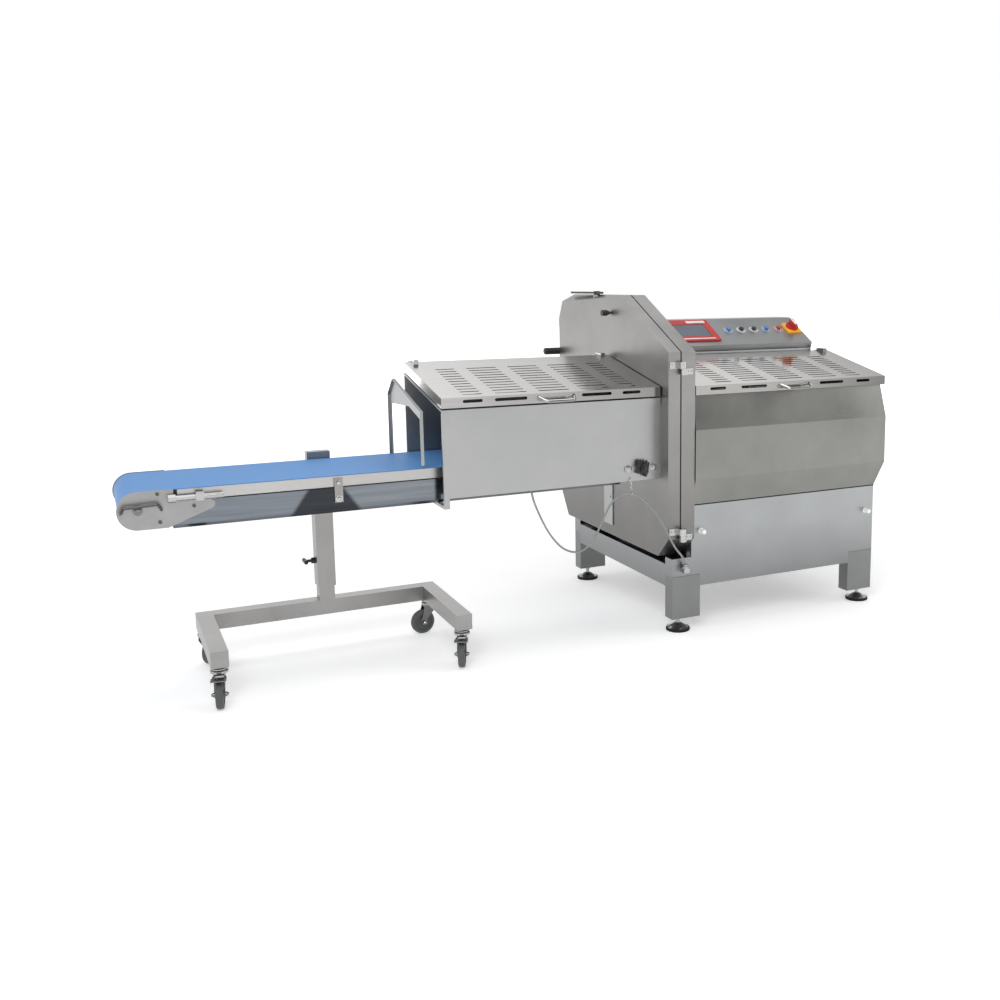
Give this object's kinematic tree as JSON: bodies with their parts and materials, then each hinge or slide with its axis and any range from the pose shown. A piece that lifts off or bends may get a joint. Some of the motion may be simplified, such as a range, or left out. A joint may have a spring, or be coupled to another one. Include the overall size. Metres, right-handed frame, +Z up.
{
  "type": "meat portion slicer",
  "caption": "Floor-standing meat portion slicer: slotted feed lid, hinged cutting head, covered outfeed tunnel and a belt conveyor carried on a castored stand.",
  "frame": {"origin": "on the floor, under the middle of the whole machine", "axes": "+X along the machine from the conveyor's tail to the feed end, +Y from the operator to the back, +Z up"},
  "size_m": [3.1469, 1.1724, 1.4185],
  "materials": {
    "stainless_steel": "bead-blasted stainless steel, fine and even",
    "ground_steel": "ground bright",
    "bright_metal": "polished",
    "castor_steel": "dark zinc and black paint",
    "seal_rubber": "matt black profile",
    "white_plastic": "food-grade plastic",
    "motor_casting": "cast and painted grey",
    "red_plastic": "glossy red",
    "yellow_plastic": "glossy yellow",
    "blue_plastic": "glossy blue",
    "screen_glass": "dark coated screen, not see-through",
    "cable_grey": "grey cable jacket",
    "belt_blue": "blue food-grade belt",
    "black_plastic": "black grained plastic",
    "wheel_rubber": "grey non-marking tread"
  },
  "bodies": {
    "base": {"base_frame": "stainless_steel", "lower_panels": "stainless_steel", "top_deck": "stainless_steel", "leveling_feet": "bright_metal", "front_cladding": "stainless_steel", "end_cladding": "stainless_steel", "rear_cladding": "stainless_steel", "cutting_head": "stainless_steel", "door_seal": "seal_rubber", "shear_plate": "white_plastic", "blade_bearing": "stainless_steel", "blade_motor": "motor_casting", "console_housing": "stainless_steel", "screen_bezel": "red_plastic", "touch_screen": "screen_glass", "button_rings": "bright_metal", "switch_plate": "yellow_plastic", "feed_rods": "ground_steel", "cable_gland": "bright_metal", "connection_cable": "cable_grey", "frame_hinges": "stainless_steel"},
    "door": {"door_shell": "stainless_steel", "door_hinges": "stainless_steel", "door_grip": "black_plastic", "outfeed_tunnel": "stainless_steel", "interlock_switch": "black_plastic", "conveyor_frame": "stainless_steel", "conveyor_belt": "belt_blue", "conveyor_tray": "stainless_steel", "end_plates": "stainless_steel", "belt_tensioners": "stainless_steel", "exit_gate": "stainless_steel", "conveyor_upright": "stainless_steel"},
    "blade": {"blade": "ground_steel", "blade_hub": "ground_steel"},
    "infeed_lid": {"infeed_lid": "stainless_steel"},
    "outfeed_lid": {"outfeed_lid": "stainless_steel"},
    "gripper": {"feed_gripper": "ground_steel"},
    "drive_drum": {"drive_drum": "stainless_steel"},
    "tail_roller": {"tail_roller": "stainless_steel"},
    "door_lever": {"door_lever": "black_plastic"},
    "door_knob": {"door_knob": "black_plastic"},
    "clamp_lever": {"clamp_lever": "black_plastic"},
    "stand": {"stand_frame": "stainless_steel"},
    "switch_knob": {"switch_knob": "red_plastic"},
    "fork_front_left": {"fork_front_left": "castor_steel"},
    "wheel_front_left": {"wheel_front_left": "wheel_rubber"},
    "fork_front_right": {"fork_front_right": "castor_steel"},
    "wheel_front_right": {"wheel_front_right": "wheel_rubber"},
    "fork_rear_left": {"fork_rear_left": "castor_steel"},
    "wheel_rear_left": {"wheel_rear_left": "wheel_rubber"},
    "fork_rear_right": {"fork_rear_right": "castor_steel"},
    "wheel_rear_right": {"wheel_rear_right": "wheel_rubber"},
    "pedal_front_left": {"pedal_front_left": "castor_steel"},
    "pedal_front_right": {"pedal_front_right": "castor_steel"},
    "button_1": {"button_1": "blue_plastic"},
    "button_2": {"button_2": "black_plastic"},
    "button_3": {"button_3": "black_plastic"},
    "button_4": {"button_4": "blue_plastic"},
    "button_5": {"button_5": "red_plastic"}
  },
  "joints": [
    {"name": "door_swing", "type": "hinge", "parent": "base", "child": "door", "pos_m": [0.5095, -0.55375, 0.76], "axis": [0, 0, 1], "range_deg": [0, 90], "deforming": ["connection_cable"]},
    {"name": "blade_spin", "type": "hinge", "parent": "base", "child": "blade", "pos_m": [0.5405, 0.00825, 0.862], "axis": [1, 0, 0], "continuous": true},
    {"name": "infeed_lid_swing", "type": "hinge", "parent": "base", "child": "infeed_lid", "pos_m": [1.0485, -0.09875, 1.126], "axis": [-1, 0, 0], "range_deg": [0, 80]},
    {"name": "outfeed_lid_swing", "type": "hinge", "parent": "door", "child": "outfeed_lid", "pos_m": [-0.0115, 0.02725, 1.133], "axis": [-1, 0, 0], "range_deg": [0, 80]},
    {"name": "gripper_travel", "type": "slide", "parent": "base", "child": "gripper", "axis": [-1, 0, 0], "range_m": [0, 0.8]},
    {"name": "drive_drum_spin", "type": "hinge", "parent": "door", "child": "drive_drum", "pos_m": [0.3765, -0.20675, 0.712], "axis": [0, 1, 0], "continuous": true},
    {"name": "tail_roller_spin", "type": "hinge", "parent": "door", "child": "tail_roller", "pos_m": [-1.5085, -0.20675, 0.712], "axis": [0, 1, 0], "continuous": true},
    {"name": "door_lever_turn", "type": "hinge", "parent": "door", "child": "door_lever", "pos_m": [0.4805, 0.18325, 1.412], "axis": [0, 0, 1], "range_deg": [0, 90]},
    {"name": "door_knob_turn", "type": "hinge", "parent": "door", "child": "door_knob", "pos_m": [0.4285, -0.00975, 1.325], "axis": [1, 0, 0], "range_deg": [0, 180]},
    {"name": "clamp_lever_turn", "type": "hinge", "parent": "door", "child": "clamp_lever", "pos_m": [-0.8795, -0.00175, 0.365], "axis": [1, 0, 0], "range_deg": [0, 120]},
    {"name": "stand_height", "type": "slide", "parent": "door", "child": "stand", "axis": [0, 0, 1], "range_m": [-0.04, 0.05]},
    {"name": "swivel_front_left", "type": "hinge", "parent": "stand", "child": "fork_front_left", "pos_m": [-1.2895, -0.44475, 0.13], "axis": [0, 0, 1], "continuous": true},
    {"name": "roll_front_left", "type": "hinge", "parent": "fork_front_left", "child": "wheel_front_left", "pos_m": [-1.29471, -0.47429, 0.05], "axis": [0.9848, -0.1736, 0], "continuous": true},
    {"name": "brake_front_left", "type": "hinge", "parent": "fork_front_left", "child": "pedal_front_left", "pos_m": [-1.29332, -0.46642, 0.108], "axis": [0.9848, -0.1736, 0], "range_deg": [0, 10]},
    {"name": "swivel_front_right", "type": "hinge", "parent": "stand", "child": "fork_front_right", "pos_m": [-0.4085, -0.44475, 0.13], "axis": [0, 0, 1], "continuous": true},
    {"name": "roll_front_right", "type": "hinge", "parent": "fork_front_right", "child": "wheel_front_right", "pos_m": [-0.41974, -0.47257, 0.05], "axis": [0.9272, -0.3746, 0], "continuous": true},
    {"name": "brake_front_right", "type": "hinge", "parent": "fork_front_right", "child": "pedal_front_right", "pos_m": [-0.41674, -0.46515, 0.108], "axis": [0.9272, -0.3746, 0], "range_deg": [0, 10]},
    {"name": "swivel_rear_left", "type": "hinge", "parent": "stand", "child": "fork_rear_left", "pos_m": [-1.2895, -0.00675, 0.13], "axis": [0, 0, 1], "continuous": true},
    {"name": "roll_rear_left", "type": "hinge", "parent": "fork_rear_left", "child": "wheel_rear_left", "pos_m": [-1.27229, 0.01783, 0.05], "axis": [-0.8192, 0.5736, 0], "continuous": true},
    {"name": "swivel_rear_right", "type": "hinge", "parent": "stand", "child": "fork_rear_right", "pos_m": [-0.4085, -0.00675, 0.13], "axis": [0, 0, 1], "continuous": true},
    {"name": "roll_rear_right", "type": "hinge", "parent": "fork_rear_right", "child": "wheel_rear_right", "pos_m": [-0.43821, -0.01093, 0.05], "axis": [0.1392, -0.9903, 0], "continuous": true},
    {"name": "press_button_1", "type": "slide", "parent": "base", "child": "button_1", "axis": [0, 0.5098, -0.8603], "range_m": [0, 0.004], "stiffness_N_per_m": 400, "springref_m": -0.002},
    {"name": "press_button_2", "type": "slide", "parent": "base", "child": "button_2", "axis": [0, 0.5098, -0.8603], "range_m": [0, 0.004], "stiffness_N_per_m": 400, "springref_m": -0.002},
    {"name": "press_button_3", "type": "slide", "parent": "base", "child": "button_3", "axis": [0, 0.5098, -0.8603], "range_m": [0, 0.004], "stiffness_N_per_m": 400, "springref_m": -0.002},
    {"name": "press_button_4", "type": "slide", "parent": "base", "child": "button_4", "axis": [0, 0.5098, -0.8603], "range_m": [0, 0.004], "stiffness_N_per_m": 400, "springref_m": -0.002},
    {"name": "press_button_5", "type": "slide", "parent": "base", "child": "button_5", "axis": [0, 0.5098, -0.8603], "range_m": [0, 0.004], "stiffness_N_per_m": 400, "springref_m": -0.002},
    {"name": "main_switch_turn", "type": "hinge", "parent": "base", "child": "switch_knob", "pos_m": [1.4385, 0.00662, 1.23267], "axis": [0, 0.5098, -0.8603], "range_deg": [0, 90]}
  ],
  "couplings": [
    {"joint": "tail_roller_spin", "follows": "drive_drum_spin", "ratio": 1}
  ]
}
